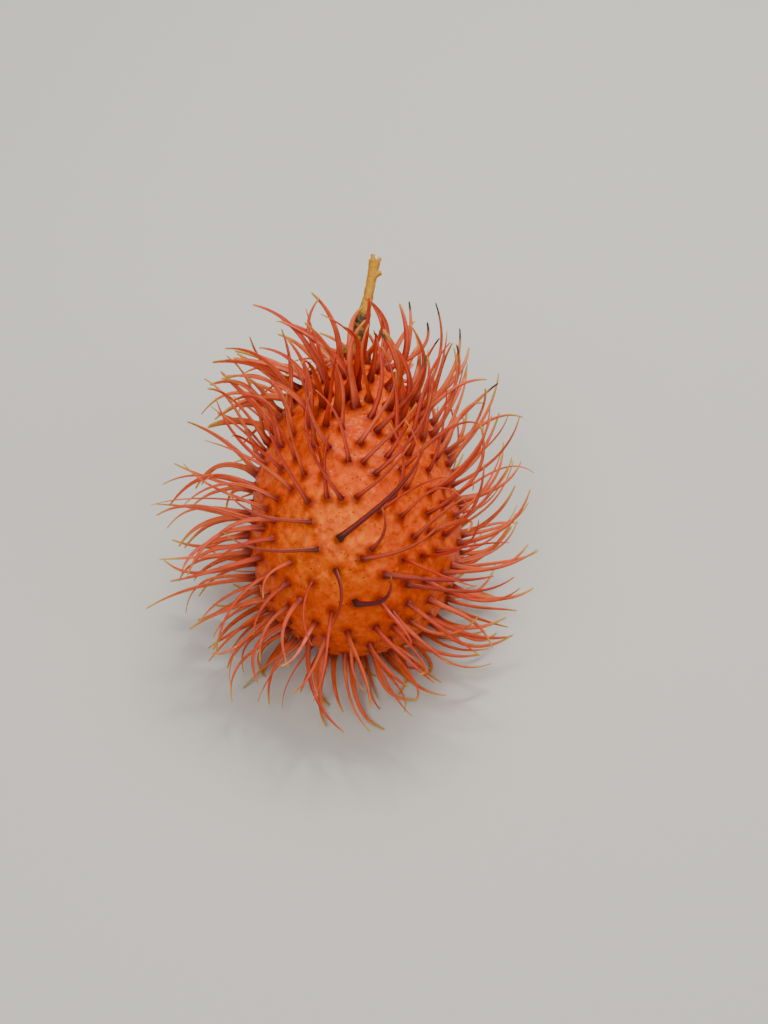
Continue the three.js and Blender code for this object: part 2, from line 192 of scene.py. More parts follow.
@dataclass(frozen=True)
class Growth:
    """How the fruit grew: the egg of its rind and the rules that its spines follow, in mm."""

    half_length: float = 26.8
    radius: float = 18.2
    taper: float = 0.2
    height: float = 23.6
    off_centre: tuple[float, float] = (2.32, -0.005)
    stem_end_raised: float = math.radians(30)
    cheek_turn: float = math.radians(10)
    seed: int = 20
    spacing: float = 3.1
    spacing_on_cheek: float = 5.0
    crowding_at_stem: float = 0.19
    stouter_at_stem: float = 0.35
    candidates: int = 6000
    spine_length: float = 16.2
    spine_length_spread: float = 0.34
    stem_clearing: float = 4.0
    cheek_across: float = -4.2
    cheek_up: float = -6.1
    cheek_core: float = 5.0
    cheek_edge: float = 12.5
    parting_reach: float = 20.0
    lean_at_cheek: float = 0.95
    lean_at_underside: float = 0.85
    lean_elsewhere: float = 0.3
    lean_to_stem: float = 0.5
    lean_to_stem_rises: Span = (0.0, 0.4)
    lean_to_stem_falls: Span = (0.5, 0.9)
    lean_by_chance: float = 0.55
    more_chance_at_stem: float = 0.5
    chance_zone: Span = (0.2, 0.7)
    most_lean: float = 1.15
    crowding_zone: Span = (0.2, 0.6)
    stout_zone: Span = (0.1, 0.6)
    shorter_at_stem: float = 0.4
    short_stem_zone: Span = (0.75, 1.0)
    shorter_at_blossom: float = 0.2
    short_blossom_zone: Span = (0.4, 1.0)
    stunted_on_cheek: float = 0.5
    stunted_length: float = 0.5
    least_bow: float = 0.05
    bow_spread: float = 0.3
    bow_by_wander: float = 0.15
    bow_by_chance: float = 0.4
    curl_by_swirl: float = 0.12
    least_curl: float = 0.3
    curl_spread: float = 1.3
    least_girth: float = 0.7
    girth_spread: float = 0.45
    lean_phase: float = 0.6
    bow_phase: float = 3.4
    knee: float = 1.6
    line_steps: int = 24
    halvings: int = 40
    pressed_height: float = 0.05
    press_zone: float = 1.7
    clear_of_rind: float = 0.85
    clearance_ramp: float = 6.0

    def centre(self) -> np.ndarray:
        """Middle of the rind in the part's frame, from the fruit's box."""
        low, high = (np.array(corner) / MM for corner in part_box("fruit"))
        middle = (low + high) / 2
        across, along = self.off_centre
        return np.array([middle[0] + across, middle[1] + along, low[2] + self.height])

    def girth(self, share_along: np.ndarray) -> np.ndarray:
        """Radius of the rind at a share of its half length, before the ends round off."""
        return self.radius * (1 - self.taper * share_along)

    def rind_point(self, direction: np.ndarray) -> np.ndarray:
        """Points of the rind for unit directions, in the rind's frame."""
        x, y, z = direction[..., 0], direction[..., 1], direction[..., 2]
        girth = self.girth(y)
        return np.stack([x * girth, y * self.half_length, z * girth], -1)

    def rind_normal(self, point: np.ndarray) -> np.ndarray:
        """Outward normals of the rind at its points."""
        share = point[..., 1] / self.half_length
        girth = self.girth(share)
        ring = (point[..., 0] ** 2 + point[..., 2] ** 2) / girth**2
        slope = (share + ring * self.radius * self.taper / girth) / self.half_length
        return unit(np.stack([point[..., 0] / girth**2, slope, point[..., 2] / girth**2], -1))

    def rind_ratio(self, point: np.ndarray) -> np.ndarray:
        """How far out points lie: 1 on the rind, more outside it."""
        share = point[..., 1] / self.half_length
        girth = self.girth(np.clip(share, -1, 1))
        return np.sqrt((point[..., 0] ** 2 + point[..., 2] ** 2) / girth**2 + share**2)

    def cheek_vector(self, across: float, up: float, out: float) -> np.ndarray:
        """A vector of the cheek's frame (across, up and out of it) in the rind's frame."""
        c, s = math.cos(self.cheek_turn), math.sin(self.cheek_turn)
        return np.array([across, up * c - out * s, up * s + out * c])

    def cheek_point(self, across: float, up: float) -> np.ndarray:
        """Point of the rind on its cheek side, from its place across and up, found by halving."""
        inside, outside = 0.0, 2 * self.radius
        for _ in range(self.halvings):
            out = (inside + outside) / 2
            if self.rind_ratio(self.cheek_vector(across, up, out)) < 1:
                inside = out
            else:
                outside = out
        return self.cheek_vector(across, up, inside)

    def cheek_middle(self) -> np.ndarray:
        """Middle of the bare cheek, on the rind."""
        return self.cheek_point(self.cheek_across, self.cheek_up)

    def underside_point(self) -> np.ndarray:
        """Lowest point of the rind as it lies."""
        along = -self.half_length * math.sin(self.stem_end_raised)
        out = -self.radius * math.cos(self.stem_end_raised)
        return self.rind_point(unit(np.array([0.0, along, out])))

    def cheek_share(self, point: np.ndarray) -> np.ndarray:
        """Share of bare cheek at points, from 0 to 1."""
        distance = np.linalg.norm(point - self.cheek_middle(), axis=-1)
        return 1 - smooth(distance, self.cheek_core, self.cheek_edge)

    def to_part(self, point: np.ndarray) -> np.ndarray:
        """From the rind's frame to the part's frame."""
        c, s = math.cos(self.stem_end_raised), math.sin(self.stem_end_raised)
        x, y, z = point[..., 0], point[..., 1], point[..., 2]
        return np.stack([x, y * c - z * s, y * s + z * c], -1) + self.centre()

    def turn_to_part(self, vector: np.ndarray) -> np.ndarray:
        """Turn directions from the rind's frame to the part's."""
        return self.to_part(vector) - self.centre()

    @staticmethod
    def along_surface(vector: np.ndarray, normal: np.ndarray) -> np.ndarray:
        """The part of a vector that lies along the rind's surface."""
        return vector - normal * np.dot(vector, normal)

    def scattered(self, normal: np.ndarray, random: SeededRandom) -> np.ndarray:
        """A random vector along the surface, up to about a half long."""
        return self.along_surface(np.array([random() - 0.5 for _ in range(3)]), normal)

    @staticmethod
    def wander(point: np.ndarray, phase: float) -> np.ndarray:
        """Slow wander of direction over the rind, so that neighbouring spines curve alike."""
        x, y, z = point
        sway = (
            math.sin(0.16 * x + 0.11 * z + phase) + math.sin(0.19 * y - 0.07 * z + 2.1 * phase),
            math.sin(0.15 * y + 0.09 * x + 1.3 * phase) + math.sin(0.18 * z + 0.7 * phase),
            math.sin(0.14 * z - 0.12 * y + 1.9 * phase) + math.sin(0.2 * x + 1.1 * phase),
        )
        return np.array(sway) * 0.5

    def parting_lean(
        self, point: np.ndarray, normal: np.ndarray, pole: np.ndarray, strength: float
    ) -> np.ndarray:
        """Lean away from a parting of the coat, which fades with distance.

        Args:
            point: Root of the spine, on the rind.
            normal: The rind's normal there.
            pole: Middle of the parting.
            strength: Lean close to the middle, in radians.

        Returns:
            The lean as a vector along the surface.
        """
        offset = point - pole
        fade = math.exp(-((np.linalg.norm(offset) / self.parting_reach) ** 2))
        return unit(self.along_surface(offset, normal)) * strength * fade

    def plant_roots(self, random: SeededRandom) -> list[np.ndarray]:
        """Roots of the spines: the marked ones, then random places that keep the spacing."""
        roots = np.array([self.cheek_point(marked.across, marked.up) for marked in MARKED_SPINES])
        stem_end = self.rind_point(np.array([0.0, 1.0, 0.0]))
        for _ in range(self.candidates):
            height = 2 * random() - 1
            turn = 2 * math.pi * random()
            ring = math.sqrt(1 - height * height)
            direction = np.array([ring * math.cos(turn), height, ring * math.sin(turn)])
            point = self.rind_point(direction)
            wider = self.spacing_on_cheek - self.spacing
            spacing = self.spacing + wider * self.cheek_share(point)
            crowding = smooth(point[1] / self.half_length, *self.crowding_zone)
            spacing *= 1 - self.crowding_at_stem * crowding
            free = np.linalg.norm(roots - point, axis=1).min() > spacing
            if free and np.linalg.norm(point - stem_end) > self.stem_clearing:
                roots = np.vstack([roots, point])
        return list(roots)

    def marked_row(self, marked: MarkedSpine) -> tuple:
        """Root, normal, start, bow, curl, length, girth and wither of a marked spine."""
        root = self.cheek_point(marked.across, marked.up)
        normal = self.rind_normal(root)
        heading, lean = math.radians(marked.heading), math.radians(marked.lean)
        way = self.cheek_vector(math.cos(heading), math.sin(heading), 0)
        forward = unit(self.along_surface(way, normal))
        left = np.cross(normal, forward)
        start = normal * math.cos(lean) + forward * math.sin(lean)
        bow = left * marked.bend + normal * marked.lift
        curl = left * marked.curl
        return root, normal, start, bow, curl, marked.length, marked.girth, marked.wither

    def wild_lean(self, root: np.ndarray, normal: np.ndarray, scatter: np.ndarray) -> np.ndarray:
        """Lean of an unmarked spine: by the partings, the slow wander, chance and the stem."""
        share = root[1] / self.half_length
        to_stem = self.along_surface(np.array([0.0, 1.0, 0.0]), normal)
        below = self.underside_point()
        wander = self.along_surface(self.wander(root, self.lean_phase), normal)
        chance = self.more_chance_at_stem * smooth(share, *self.chance_zone)
        rising = smooth(share, *self.lean_to_stem_rises) - smooth(share, *self.lean_to_stem_falls)
        lean = self.parting_lean(root, normal, self.cheek_middle(), self.lean_at_cheek)
        lean = lean + self.parting_lean(root, normal, below, self.lean_at_underside)
        lean = lean + wander * self.lean_elsewhere
        lean = lean + scatter * (self.lean_by_chance + chance)
        return lean + to_stem * self.lean_to_stem * rising

    def wild_row(self, root: np.ndarray, random: SeededRandom) -> tuple:
        """The same for an unmarked spine.

        Args:
            root: Its root, on the rind.
            random: Where its chances come from, in a fixed order.

        Returns:
            Root, normal, start, bow, curl, length, girth and wither.
        """
        normal = self.rind_normal(root)
        share = root[1] / self.half_length
        scatter, sway, hook = (self.scattered(normal, random) for _ in range(3))
        lean = self.wild_lean(root, normal, scatter)
        angle = min(float(np.linalg.norm(lean)), self.most_lean)
        start = normal * math.cos(angle) + unit(lean) * math.sin(angle)
        swirl = np.cross(self.cheek_vector(0, 0, 1), start)
        wander = self.along_surface(self.wander(root, self.bow_phase), normal)
        bow = swirl * (self.least_bow + self.bow_spread * random())
        bow = bow + wander * self.bow_by_wander + sway * self.bow_by_chance
        curl = swirl * self.curl_by_swirl + hook * (self.least_curl + self.curl_spread * random())
        spread = self.spine_length_spread * (random() - 0.5) * 2 * random()
        length = self.spine_length * (1 + spread)
        at_stem = self.shorter_at_stem * smooth(share, *self.short_stem_zone)
        at_blossom = self.shorter_at_blossom * smooth(-share, *self.short_blossom_zone)
        length *= 1 - at_stem - at_blossom
        if random() < self.stunted_on_cheek * self.cheek_share(root):
            length *= self.stunted_length
        stouter = 1 + self.stouter_at_stem * smooth(share, *self.stout_zone)
        girth = (self.least_girth + self.girth_spread * random()) * stouter
        return root, normal, start, bow, curl, length, girth, 0.0

    def spines(self) -> Spines:
        """Every spine, marked ones first."""
        random = SeededRandom(self.seed)
        roots = self.plant_roots(random)
        rows = [self.marked_row(marked) for marked in MARKED_SPINES]
        rows += [self.wild_row(root, random) for root in roots[len(MARKED_SPINES):]]
        return Spines(*(np.array(column) for column in zip(*rows)))

    def spine_points(self, spines: Spines, shares: np.ndarray) -> np.ndarray:
        """Centre lines of the spines.

        Args:
            spines: The spines, in the rind's frame.
            shares: Shares of a spine's length, from 0 at the root to 1 at the tip.

        Returns:
            Points in the part's frame, one row per spine and one column per share.
        """
        length = spines.length[:, None, None]
        step = (np.arange(self.line_steps) + 0.5)[None, :, None] / self.line_steps
        upright = np.clip(1 - step * length / self.knee, 0, 1)
        ahead = spines.normal[:, None] * upright + spines.start[:, None] * (1 - upright)
        ahead = unit(ahead + spines.bow[:, None] * 2 * step + spines.curl[:, None] * 4 * step**3)
        walked = np.cumsum(ahead, 1) * length / self.line_steps
        walked = np.concatenate([np.zeros_like(walked[:, :1]), walked], 1)
        place = np.clip(shares, 0, 1) * self.line_steps
        before = np.minimum(place.astype(int), self.line_steps - 1)
        between = (place - before)[None, :, None]
        point = spines.root[:, None] + walked[:, before] * (1 - between)
        point = point + walked[:, before + 1] * between
        near = np.clip(shares * self.clearance_ramp, 0, 1)[None, :]
        clearance = 1 + self.clear_of_rind * near / self.radius
        ratio = self.rind_ratio(point)
        lift = np.where((ratio < clearance) & (shares > 0)[None, :], clearance / ratio, 1.0)
        return self.pressed(self.to_part(point * lift[..., None]))

    def pressed(self, placed: np.ndarray) -> np.ndarray:
        """The same points, with those close to the resting surface pressed down towards it."""
        height = placed[..., 2]
        room = self.press_zone - self.pressed_height
        low = self.pressed_height + room * np.exp(-(self.press_zone - height) / room)
        placed[..., 2] = np.where(height < self.press_zone, low, height)
        return placed


# -------------------------------------------------------- shader maths


class Value:
    """A number socket; Python expressions on it become Math nodes."""

    def __init__(self, shader: "Shader", socket: bpy.types.NodeSocket) -> None:
        """Wrap an output socket of a shader's node."""
        self.shader = shader
        self.socket = socket

    def _math(self, operation: str, *operands: "Value | float") -> "Value":
        """A Math node on the operands."""
        inputs = dict(enumerate(operands))
        return self.shader.node("ShaderNodeMath", {"operation": operation}, inputs)

    def __add__(self, other: "Value | float") -> "Value":
        """Sum."""
        return self._math("ADD", self, other)

    __radd__ = __add__

    def __sub__(self, other: "Value | float") -> "Value":
        """Difference."""
        return self._math("SUBTRACT", self, other)

    def __rsub__(self, other: float) -> "Value":
        """Difference the other way round."""
        return self._math("SUBTRACT", other, self)

    def __mul__(self, other: "Value | float") -> "Value":
        """Product."""
        return self._math("MULTIPLY", self, other)

    __rmul__ = __mul__

    def __pow__(self, power: float) -> "Value":
        """Power."""
        return self._math("POWER", self, power)

    def rise(self, low: float, high: float) -> "Value":
        """Smooth step from 0 at low to 1 at high."""
        settings = {"interpolation_type": "SMOOTHSTEP"}
        inputs = {0: self, 1: low, 2: high, 3: 0.0, 4: 1.0}
        return self.shader.node("ShaderNodeMapRange", settings, inputs)


class Shader:
    """A material under construction, around one Principled shader."""

    def __init__(self, name: str, **constants: float | tuple) -> None:
        """Start a material.

        Args:
            name: Its name.
            **constants: Values of the shader's own sockets, by name with _ for a space.
        """
        self.material = bpy.data.materials.new(name)
        self.material.use_nodes = True
        self.tree = self.material.node_tree
        self.surface = self.tree.nodes["Principled BSDF"]
        for socket, value in constants.items():
            self.surface.inputs[socket.replace("_", " ")].default_value = value

    def node(self, kind: str, settings: dict, inputs: dict, output: int = 0) -> Value:
        """Add a node.

        Args:
            kind: The node's type.
            settings: Its properties; a ramp's stops are given as "stops".
            inputs: Values or links of its sockets, by index or name.
            output: Which of its outputs to return.

        Returns:
            The output, ready for further maths.
        """
        made = self.tree.nodes.new(kind)
        for setting, value in settings.items():
            if setting == "stops":
                self._set_stops(made.color_ramp, value)
            else:
                setattr(made, setting, value)
        for key, value in inputs.items():
            self.link(made.inputs[key], value)
        return Value(self, made.outputs[output])

    @staticmethod
    def _set_stops(ramp: bpy.types.ColorRamp, stops: list[tuple[float, Colour]]) -> None:
        """Give a ramp its stops of place and colour."""
        while len(ramp.elements) < len(stops):
            ramp.elements.new(1.0)
        for element, (place, colour) in zip(ramp.elements, stops):
            element.position = place
            element.color = (*colour, 1.0)

    def link(self, socket: bpy.types.NodeSocket, value: "Value | float | tuple") -> None:
        """Link a value to a socket, or set the socket to a constant."""
        if isinstance(value, Value):
            self.tree.links.new(value.socket, socket)
        elif isinstance(value, tuple) and len(value) == 3 and socket.type == "RGBA":
            socket.default_value = (*value, 1.0)
        else:
            socket.default_value = value

    def feed(self, name: str, value: Value) -> None:
        """Link a value to one of the shader's own sockets."""
        self.link(self.surface.inputs[name], value)

    def attribute(self, name: str) -> Value:
        """A number stored on the piece."""
        return self.node("ShaderNodeAttribute", {"attribute_name": name}, {}, 2)

    def place(self) -> Value:
        """The point being shaded, in the object's own metres."""
        return self.node("ShaderNodeTexCoord", {}, {}, 3)

    def noise(self, scale: float, detail: float) -> Value:
        """Noise whose patches are about 1 / scale metres, with some octaves of detail."""
        inputs = {"Vector": self.place(), "Scale": scale, "Detail": detail}
        return self.node("ShaderNodeTexNoise", {"noise_dimensions": "3D"}, inputs)

    def cells(self, scale: float) -> Value:
        """Distance from the middles of irregular cells of about 1 / scale metres."""
        inputs = {"Vector": self.place(), "Scale": scale}
        return self.node("ShaderNodeTexVoronoi", {"feature": "F1"}, inputs)

    def mix(self, factor: Value | float, first: Value | Colour, second: Value | Colour) -> Value:
        """Blend two colours."""
        settings = {"data_type": "RGBA", "clamp_factor": True}
        return self.node("ShaderNodeMix", settings, {0: factor, 6: first, 7: second}, 2)

    def bump(
        self, height: Value, depth: float, strength: float, below: Value | None = None
    ) -> Value:
        """A bump of the surface.

        Args:
            height: Its height, from 0 to 1.
            depth: How many metres a height of 1 stands for.
            strength: Share of it that shows.
            below: Another bump that it lies on.

        Returns:
            The bumped normal.
        """
        inputs = {"Height": height, "Distance": depth, "Strength": strength}
        if below:
            inputs["Normal"] = below
        return self.node("ShaderNodeBump", {}, inputs)


@dataclass(frozen=True)
class RindFinish:
    """Waxy pebbled rind: orange on the cheek and redder away from it, partly its own colour and
    partly painted light and shade; a dark red ring round each spine's root, partly the root's own
    red and partly painted shade; pebble tops lighter, a painted highlight.
    """

    cheek: Colour = (0.76, 0.108, 0.001)
    flank_red_and_shade: Colour = (0.68, 0.066, 0.004)
    pale_fleck_and_highlight: Colour = (0.86, 0.2, 0.012)
    valley: Colour = (0.42, 0.03, 0.001)
    # Painted shade round each spine's root, partly the root's own dark red.
    root_red_and_shade: Colour = (0.2, 0.006, 0.002)
    pore: Colour = (0.12, 0.012, 0.003)

    def material(self) -> bpy.types.Material:
        """The finished material."""
        shader = Shader(
            "rind",
            Subsurface_Weight=0.15,
            Subsurface_Radius=(0.0012, 0.0004, 0.00015),
            Subsurface_Scale=1.0,
            Specular_IOR_Level=0.08,
            Coat_Weight=0.08,
            Coat_Roughness=0.12,
            Coat_IOR=1.4,
        )
        patches = shader.noise(650, 5)
        broad = shader.noise(160, 3)
        cheek = shader.attribute("cheek")
        # Painted light and shade: the cheek is painted brighter orange and the edges redder, on top
        # of the rind's own orange-to-red spread.
        colour = shader.mix(cheek * 0.8 + 0.3 * broad, self.flank_red_and_shade, self.cheek)
        colour = shader.mix(patches.rise(0.5, 0.68) * (0.25 + 0.5 * cheek), colour, self.pale_fleck_and_highlight)
        colour = shader.mix((1 - patches).rise(0.5, 0.68) * 0.5, colour, self.valley)
        flecks = shader.noise(1500, 4)
        colour = shader.mix(flecks.rise(0.54, 0.66) * (0.15 + 0.4 * cheek), colour, self.pale_fleck_and_highlight)
        colour = shader.mix((1 - flecks).rise(0.56, 0.7) * 0.4, colour, self.valley)
        # Painted highlight: the pebbles' tops are painted lighter than their hollows.
        pebble = shader.attribute("pebble")
        colour = shader.mix(pebble.rise(0.6, 1.0) * 0.25, colour, self.pale_fleck_and_highlight)
        # Painted shade: a dark red ring round each spine's root on the skin, partly the root's own
        # dark red.
        colour = shader.mix(shader.attribute("root_red_and_shade") * (0.5 + 0.4 * patches), colour, self.root_red_and_shade)
        speck = 1 - shader.cells(1400).rise(0.12, 0.26)
        sparse = shader.noise(520, 2).rise(0.5, 0.6)
        colour = shader.mix(speck * sparse * 0.75, colour, self.pore)
        shader.feed("Base Color", colour)
        shader.feed("Roughness", 0.26 + 0.24 * shader.noise(1200, 3))
        grain = shader.bump(shader.noise(1800, 4), 0.0002, 0.55)
        pits = shader.bump(1 - speck * sparse, 0.0001, 0.7, grain)
        shader.feed("Normal", pits)
        shader.feed("Coat Normal", pits)
        return shader.material


@dataclass(frozen=True)
class SpineFinish:
    """Fleshy spine: dark root, red to coral shaft, dried ochre tip; some are withered. The shaft's
    red-to-coral spread is partly the spines' own colour and partly painted light.
    """

    root: Colour = (0.16, 0.004, 0.0015)
    shaft: Colour = (0.48, 0.027, 0.006)
    coral_and_painted_light: Colour = (0.82, 0.165, 0.04)
    tip: Colour = (0.5, 0.3, 0.035)
    withered: Colour = (0.1, 0.005, 0.006)
    scorched: Colour = (0.012, 0.006, 0.005)
    burnt: Colour = (0.05, 0.036, 0.01)

    def material(self) -> bpy.types.Material:
        """The finished material."""
        shader = Shader(
            "spines",
            Subsurface_Weight=0.12,
            Subsurface_Radius=(0.0008, 0.00022, 0.0001),
            Subsurface_Scale=1.0,
            Specular_IOR_Level=0.3,
            Coat_Weight=0.12,
            Coat_Roughness=0.15,
            Coat_IOR=1.4,
        )
        along = shader.attribute("along")
        tone = shader.attribute("tone")
        wither = shader.attribute("wither")
        patches = shader.noise(300, 3)
        # Partly painted light: each spine is mixed from deep red towards lit coral by its tone; the
        # darker red of the cheek's spines is their own.
        colour = shader.mix(tone * 0.8, self.shaft, self.coral_and_painted_light)
        colour = shader.mix(patches.rise(0.45, 0.7) * 0.3, colour, self.root)
        colour = shader.mix(1 - along.rise(0.0, 0.22), colour, self.root)
        colour = shader.mix((along + 0.25 * tone + 0.2 * patches).rise(1.0, 1.26), colour, self.tip)
        colour = shader.mix(wither * (1 - along.rise(0.55, 1.0) * 0.6), colour, self.withered)
        scorch = wither.rise(0.55, 1.0) * (1 - along.rise(0.02, 0.14))
        colour = shader.mix(scorch, colour, self.scorched)
        colour = shader.mix(shader.attribute("dried") * along.rise(0.82, 0.92), colour, self.burnt)
        fibres = shader.noise(1500, 3)
        colour = shader.mix(fibres.rise(0.55, 0.75) * 0.2, colour, self.root)
        shader.feed("Base Color", colour)
        shader.feed("Roughness", 0.34 + 0.25 * fibres + 0.12 * along)
        shader.feed("Normal", shader.bump(fibres, 0.00008, 0.5))
        return shader.material


@dataclass(frozen=True)
class StalkFinish:
    """Woody stalk: mottled dark bark at the foot, smooth ochre neck, pale broken ends."""

    bark: Colour = (0.06, 0.027, 0.006)
    lichen: Colour = (0.27, 0.14, 0.016)
    neck: Colour = (0.5, 0.23, 0.008)
    foot: Colour = (0.25, 0.14, 0.012)
    streak: Colour = (0.24, 0.1, 0.008)
    torn: Colour = (0.5, 0.27, 0.035)

    def material(self) -> bpy.types.Material:
        """The finished material."""
        shader = Shader("stalk", Specular_IOR_Level=0.4)
        along = shader.attribute("along")
        mottle = shader.noise(900, 5)
        colour = shader.mix(mottle.rise(0.46, 0.62), self.bark, self.lichen)
        neck = shader.mix(shader.noise(700, 4).rise(0.5, 0.75) * 0.5, self.neck, self.streak)
        colour = shader.mix((along + 0.14 * (mottle - 0.5)).rise(0.4, 0.5), colour, neck)
        colour = shader.mix(1 - (along + 0.1 * (mottle - 0.5)).rise(0.1, 0.2), colour, self.foot)
        colour = shader.mix(shader.attribute("torn"), colour, self.torn)
        shader.feed("Base Color", colour)
        shader.feed("Roughness", 0.5 + 0.35 * mottle)
        grain = shader.bump(mottle, 0.00025, 0.6)
        shader.feed("Normal", shader.bump(shader.noise(3000, 4), 0.00008, 0.5, grain))
        return shader.material


# -------------------------------------------------------- pieces


@dataclass
class Skin:
    """The pebbled skin of the rind, with a low mound round the root of every spine; mm."""

    growth: Growth
    spines: Spines
    cuts: int = 119
    pebble_size: float = 1.3
    pebble_wobble: float = 2.2
    finer_pebble: float = 0.45
    pebble_height: float = 0.3
    swell_size: float = 7.0
    swell_height: float = 0.35
    mound_radius: float = 1.2
    mound_height: float = 0.45
    mound_steepness: float = 1.4
    calm_on_mound: float = 0.8
    root_red_and_shade: Span = (0.55, 1.6)
    cheek_tint_and_light: float = 0.9
    map_inset: float = 0.985

    def build(self) -> bpy.types.Object:
        """The skin as one closed piece."""
        deselect_all()
        bpy.ops.mesh.primitive_cube_add(size=2)
        piece = bpy.context.object
        piece.name = piece.data.name = "skin"
        bpy.ops.object.mode_set(mode="EDIT")
        bpy.ops.mesh.select_all(action="SELECT")
        bpy.ops.mesh.subdivide(number_cuts=self.cuts)
        bpy.ops.object.mode_set(mode="OBJECT")
        self._lay_out_map(piece.data)
        self._shape(piece.data)
        select_only(piece)
        bpy.ops.object.shade_smooth()
        piece.data.materials.append(RindFinish().material())
        return piece

    def _lay_out_map(self, mesh: bpy.types.Mesh) -> None:
        """Spread the six sides of the cube over the colour map, three across and two up."""
        for layer in list(mesh.uv_layers):
            mesh.uv_layers.remove(layer)
        places = coordinates(mesh)
        corners = np.empty(len(mesh.loops), dtype=np.int64)
        mesh.loops.foreach_get("vertex_index", corners)
        faces = np.repeat(np.arange(len(mesh.polygons)), 4)
        middle = places[corners].reshape(-1, 4, 3).mean(1)
        axis = np.abs(middle).argmax(1)
        side = (np.take_along_axis(middle, axis[:, None], 1)[:, 0] > 0).astype(int)
        across = places[corners, ((axis + 1) % 3)[faces]]
        up = places[corners, ((axis + 2) % 3)[faces]]
        u = (axis[faces] + 0.5 + 0.5 * self.map_inset * across) / 3
        v = (side[faces] + 0.5 + 0.5 * self.map_inset * up) / 2
        spots = np.stack([u, v], 1).astype(np.float32)
        mesh.uv_layers.new(name="OFBake").data.foreach_set("uv", spots.ravel())

    def _shape(self, mesh: bpy.types.Mesh) -> None:
        """Turn the cube into the egg, then raise its swells, pebbles and mounds."""
        direction = unit(np.tan(coordinates(mesh) * math.pi / 4))
        point = self.growth.rind_point(direction)
        normal = self.growth.rind_normal(point)
        roots = kdtree.KDTree(len(self.spines))
        for number, root in enumerate(self.spines.root):
            roots.insert(Vector(root), number)
        roots.balance()
        near = np.array([roots.find(Vector(spot))[2] for spot in point])
        pebble = np.array([self._pebble(spot) for spot in point])
        swell = np.array([self._swell(spot) for spot in point])
        mound = np.exp(-((near / self.mound_radius) ** 2) * self.mound_steepness)
        calm = 1 - self.calm_on_mound * mound
        height = self.swell_height * swell + self.pebble_height * (pebble - 0.5) * calm
        height += self.mound_height * mound
        placed = self.growth.to_part(point + normal * height[:, None])
        set_coordinates(mesh, placed * MM)
        # The pebble height also paints the pebbles' tops lighter in the rind's colour: painted
        # highlight.
        set_attribute(mesh, "pebble", pebble * (1 - mound))
        # Marks the ring round each spine's root for its painted shade, partly the root's own dark
        # red.
        set_attribute(mesh, "root_red_and_shade", 1 - smooth(near, *self.root_red_and_shade))
        # The cheek share also paints the cheek brighter: partly the rind's own colour, partly
        # painted light.
        set_attribute(mesh, "cheek", self.growth.cheek_share(point) * self.cheek_tint_and_light)

    def _swell(self, spot: np.ndarray) -> float:
        """Height of the broad swells at a point, from about -1 to 1."""
        return noise.fractal(Vector(spot / self.swell_size), 0.6, 2.0, 3)

    def _pebble(self, spot: np.ndarray) -> float:
        """Height of the pebbled grain at a point, from 0 in a valley to 1 on a dome."""
        wobble = noise.noise_vector(Vector(spot / self.pebble_wobble)) * 0.9
        nearest = noise.voronoi(Vector(spot / self.pebble_size) + wobble * 0.5)[0][0]
        fine = noise.noise(Vector(spot / (self.pebble_size * self.finer_pebble)))
        return float(np.clip(1 - 1.5 * nearest * nearest + 0.22 * fine, 0, 1))


